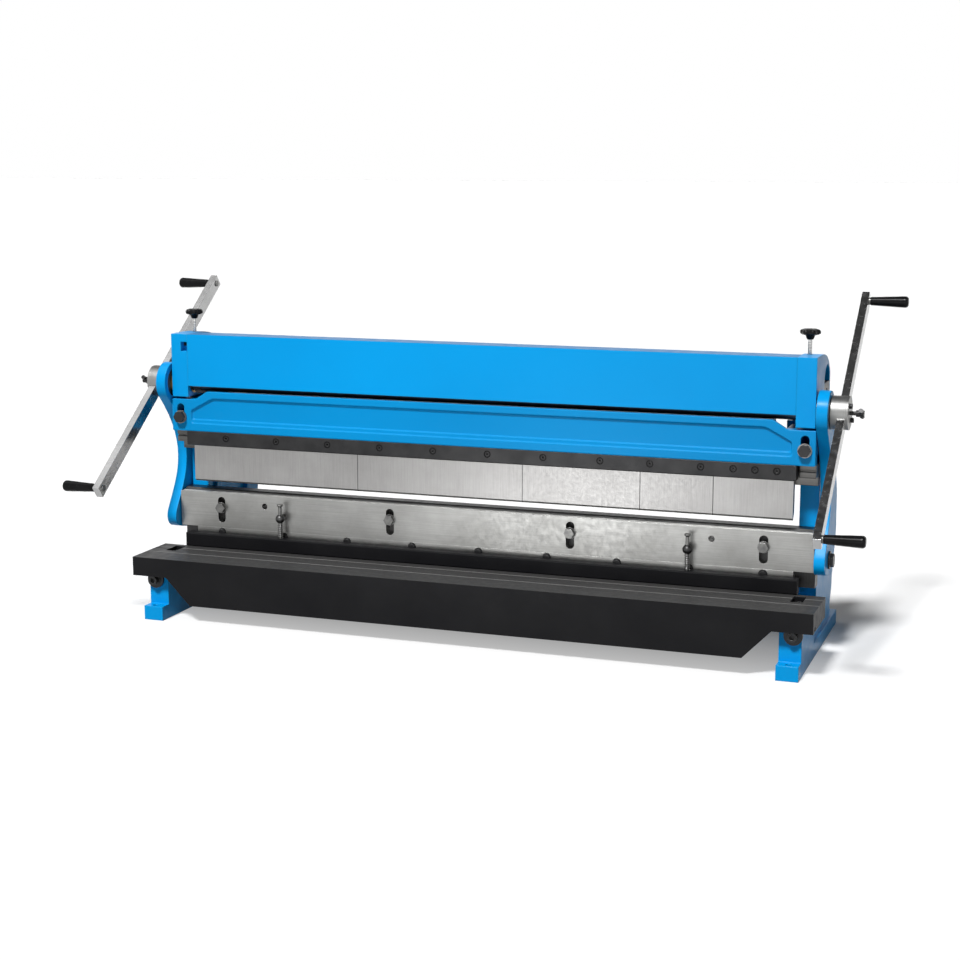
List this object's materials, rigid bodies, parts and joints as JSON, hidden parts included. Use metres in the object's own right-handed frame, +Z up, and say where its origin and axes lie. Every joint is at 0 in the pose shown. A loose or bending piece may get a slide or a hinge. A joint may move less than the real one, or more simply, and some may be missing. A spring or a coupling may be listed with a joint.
{
  "type": "combination sheet metal machine",
  "caption": "Bench machine that shears, bends and rolls sheet metal: crank shaft with eccentrics, guided ram with blade and V die, finger brake beam and slip rolls between cast side frames.",
  "frame": {"origin": "centre of the four foot bolt holes, on the sole plane", "axes": "+X along the machine to the right-hand crank, +Y to the back, +Z up"},
  "size_m": [1.6646, 0.5795, 0.7099],
  "materials": {
    "blue_paint": "sky blue gloss enamel with a light orange peel",
    "black_iron": "black painted cast iron",
    "black_oxide": "black oxide on steel",
    "zinc_steel": "plain zinc plated steel",
    "bright_steel": "ground bright steel",
    "machined_steel": "turned and milled steel",
    "bronze": "bearing bronze",
    "spring_steel": "drawn spring wire",
    "black_plastic": "black moulded plastic"
  },
  "bodies": {
    "frame": {"left_side_frame": "blue_paint", "right_side_frame": "blue_paint", "rear_tie_rod": "machined_steel", "roll_cover": "blue_paint", "cover_screws": "black_oxide", "table": "black_iron", "lower_blade": "bright_steel", "lower_blade_screws": "black_oxide", "table_bolts": "black_oxide", "table_levelling_bolts": "black_oxide", "brake_beam_bolts": "zinc_steel", "bushes": "bronze"},
    "crank_shaft": {"drive_shaft": "machined_steel", "drive_gear": "machined_steel", "hubs": "bright_steel", "hub_caps": "bright_steel", "hub_cap_screws": "black_oxide", "left_crank_bar": "bright_steel", "right_crank_bar": "bright_steel", "grip_spindles": "zinc_steel"},
    "ram": {"ram": "machined_steel", "ram_guide_shoes": "bronze", "die_bolts": "zinc_steel", "die_washers": "zinc_steel", "upper_blade": "bright_steel", "upper_blade_screws": "black_oxide"},
    "die": {"die_plate": "bright_steel", "eye_studs": "zinc_steel"},
    "hold_down": {"hold_down_bar": "black_iron", "hold_down_rods": "zinc_steel", "hold_down_springs": "spring_steel"},
    "brake_beam": {"brake_beam": "blue_paint", "finger_clamp_bar": "black_oxide", "clamp_set_screws": "black_oxide", "finger_1": "bright_steel", "finger_2": "bright_steel", "finger_3": "bright_steel", "finger_4": "bright_steel", "finger_5": "bright_steel"},
    "left_connecting_rod": {"left_connecting_rod": "blue_paint", "left_pivot_bolt": "black_oxide"},
    "right_connecting_rod": {"right_connecting_rod": "blue_paint", "right_pivot_bolt": "black_oxide"},
    "lower_roll": {"lower_roll": "bright_steel", "lower_roll_gear": "machined_steel"},
    "upper_roll_carriage": {"upper_roll_blocks": "machined_steel"},
    "upper_roll": {"upper_roll": "bright_steel", "upper_roll_gear": "machined_steel"},
    "rear_roll_carriage": {"rear_roll_blocks": "machined_steel"},
    "rear_roll": {"rear_roll": "bright_steel"},
    "left_pressure_knob": {"left_pressure_knob": "black_plastic"},
    "right_pressure_knob": {"right_pressure_knob": "black_plastic"},
    "left_rear_adjuster": {"left_rear_adjuster": "black_oxide"},
    "right_rear_adjuster": {"right_rear_adjuster": "black_oxide"},
    "left_front_grip": {"left_front_grip": "black_plastic"},
    "left_rear_grip": {"left_rear_grip": "black_plastic"},
    "right_front_grip": {"right_front_grip": "black_plastic"},
    "right_rear_grip": {"right_rear_grip": "black_plastic"},
    "left_clamp_screw": {"left_clamp_screw": "black_oxide"},
    "right_clamp_screw": {"right_clamp_screw": "black_oxide"}
  },
  "joints": [
    {"name": "drive_crank", "type": "hinge", "parent": "frame", "child": "crank_shaft", "pos_m": [0, -0.05, 0.496], "axis": [-1, 0, 0], "range_deg": [-60, 60]},
    {"name": "ram_slide", "type": "slide", "parent": "frame", "child": "ram", "axis": [0, 0, 1], "range_m": [-0.0104, 0.0104]},
    {"name": "left_rod_swing", "type": "hinge", "parent": "crank_shaft", "child": "left_connecting_rod", "pos_m": [-0.713, -0.062, 0.496], "axis": [-1, 0, 0], "range_deg": [-60.1, 60.1]},
    {"name": "right_rod_swing", "type": "hinge", "parent": "crank_shaft", "child": "right_connecting_rod", "pos_m": [0.713, -0.062, 0.496], "axis": [-1, 0, 0], "range_deg": [-60.1, 60.1]},
    {"name": "lower_roll_turn", "type": "hinge", "parent": "frame", "child": "lower_roll", "pos_m": [0, -0.019, 0.52434], "axis": [-1, 0, 0], "range_deg": [-60.1, 60.1]},
    {"name": "upper_roll_turn", "type": "hinge", "parent": "upper_roll_carriage", "child": "upper_roll", "pos_m": [0, -0.019, 0.56634], "axis": [-1, 0, 0], "range_deg": [-60.1, 60.1]},
    {"name": "upper_roll_lift", "type": "slide", "parent": "frame", "child": "upper_roll_carriage", "axis": [0, 0, 1], "range_m": [0, 0.00263]},
    {"name": "left_pressure_turn", "type": "hinge", "parent": "upper_roll_carriage", "child": "left_pressure_knob", "pos_m": [-0.673, -0.019, 0.6], "axis": [0, 0, 1], "range_deg": [0, 541]},
    {"name": "right_pressure_turn", "type": "hinge", "parent": "upper_roll_carriage", "child": "right_pressure_knob", "pos_m": [0.673, -0.019, 0.6], "axis": [0, 0, 1], "range_deg": [0, 541]},
    {"name": "rear_roll_lift", "type": "slide", "parent": "frame", "child": "rear_roll_carriage", "axis": [0, 0, 1], "range_m": [-0.0105, 0.0035]},
    {"name": "left_adjuster_turn", "type": "hinge", "parent": "rear_roll_carriage", "child": "left_rear_adjuster", "pos_m": [-0.638, 0.0475, 0.45], "axis": [0, 0, 1], "range_deg": [-2161, 721]},
    {"name": "right_adjuster_turn", "type": "hinge", "parent": "rear_roll_carriage", "child": "right_rear_adjuster", "pos_m": [0.638, 0.0475, 0.45], "axis": [0, 0, 1], "range_deg": [-2161, 721]},
    {"name": "rear_roll_turn", "type": "hinge", "parent": "rear_roll_carriage", "child": "rear_roll", "pos_m": [0, 0.0475, 0.52], "axis": [-1, 0, 0], "continuous": true},
    {"name": "brake_beam_slide", "type": "slide", "parent": "frame", "child": "brake_beam", "axis": [0, 0, 1], "range_m": [-0.02, 0]},
    {"name": "die_slide", "type": "slide", "parent": "ram", "child": "die", "axis": [0, 0, 1], "range_m": [0, 0.018]},
    {"name": "hold_down_slide", "type": "slide", "parent": "die", "child": "hold_down", "axis": [0, 0, 1], "range_m": [-0.0104, 0.0104], "deforming": ["hold_down_springs"]},
    {"name": "left_front_grip_spin", "type": "hinge", "parent": "crank_shaft", "child": "left_front_grip", "pos_m": [-0.79, -0.31104, 0.30072], "axis": [-1, 0, 0], "continuous": true},
    {"name": "left_rear_grip_spin", "type": "hinge", "parent": "crank_shaft", "child": "left_rear_grip", "pos_m": [-0.79, 0.21104, 0.69128], "axis": [-1, 0, 0], "continuous": true},
    {"name": "right_front_grip_spin", "type": "hinge", "parent": "crank_shaft", "child": "right_front_grip", "pos_m": [0.79, -0.31104, 0.30072], "axis": [-1, 0, 0], "continuous": true},
    {"name": "right_rear_grip_spin", "type": "hinge", "parent": "crank_shaft", "child": "right_rear_grip", "pos_m": [0.79, 0.21104, 0.69128], "axis": [-1, 0, 0], "continuous": true},
    {"name": "left_clamp_turn", "type": "hinge", "parent": "crank_shaft", "child": "left_clamp_screw", "pos_m": [-0.77, -0.05, 0.496], "axis": [-1, 0, 0], "range_deg": [0, 180]},
    {"name": "right_clamp_turn", "type": "hinge", "parent": "crank_shaft", "child": "right_clamp_screw", "pos_m": [0.77, -0.05, 0.496], "axis": [1, 0, 0], "range_deg": [0, 180]}
  ],
  "couplings": [
    {"joint": "ram_slide", "follows": "drive_crank", "m_per_rad": 0.009924},
    {"joint": "left_rod_swing", "follows": "drive_crank", "ratio": -1},
    {"joint": "right_rod_swing", "follows": "drive_crank", "ratio": -1},
    {"joint": "lower_roll_turn", "follows": "drive_crank", "ratio": -1},
    {"joint": "upper_roll_turn", "follows": "drive_crank", "ratio": 1},
    {"joint": "hold_down_slide", "follows": "drive_crank", "m_per_rad": -0.009924},
    {"joint": "left_pressure_turn", "follows": "upper_roll_lift", "rad_per_m": 3590.4},
    {"joint": "right_pressure_turn", "follows": "upper_roll_lift", "rad_per_m": 3590.4},
    {"joint": "left_adjuster_turn", "follows": "rear_roll_lift", "rad_per_m": 3590.4},
    {"joint": "right_adjuster_turn", "follows": "rear_roll_lift", "rad_per_m": 3590.4}
  ]
}
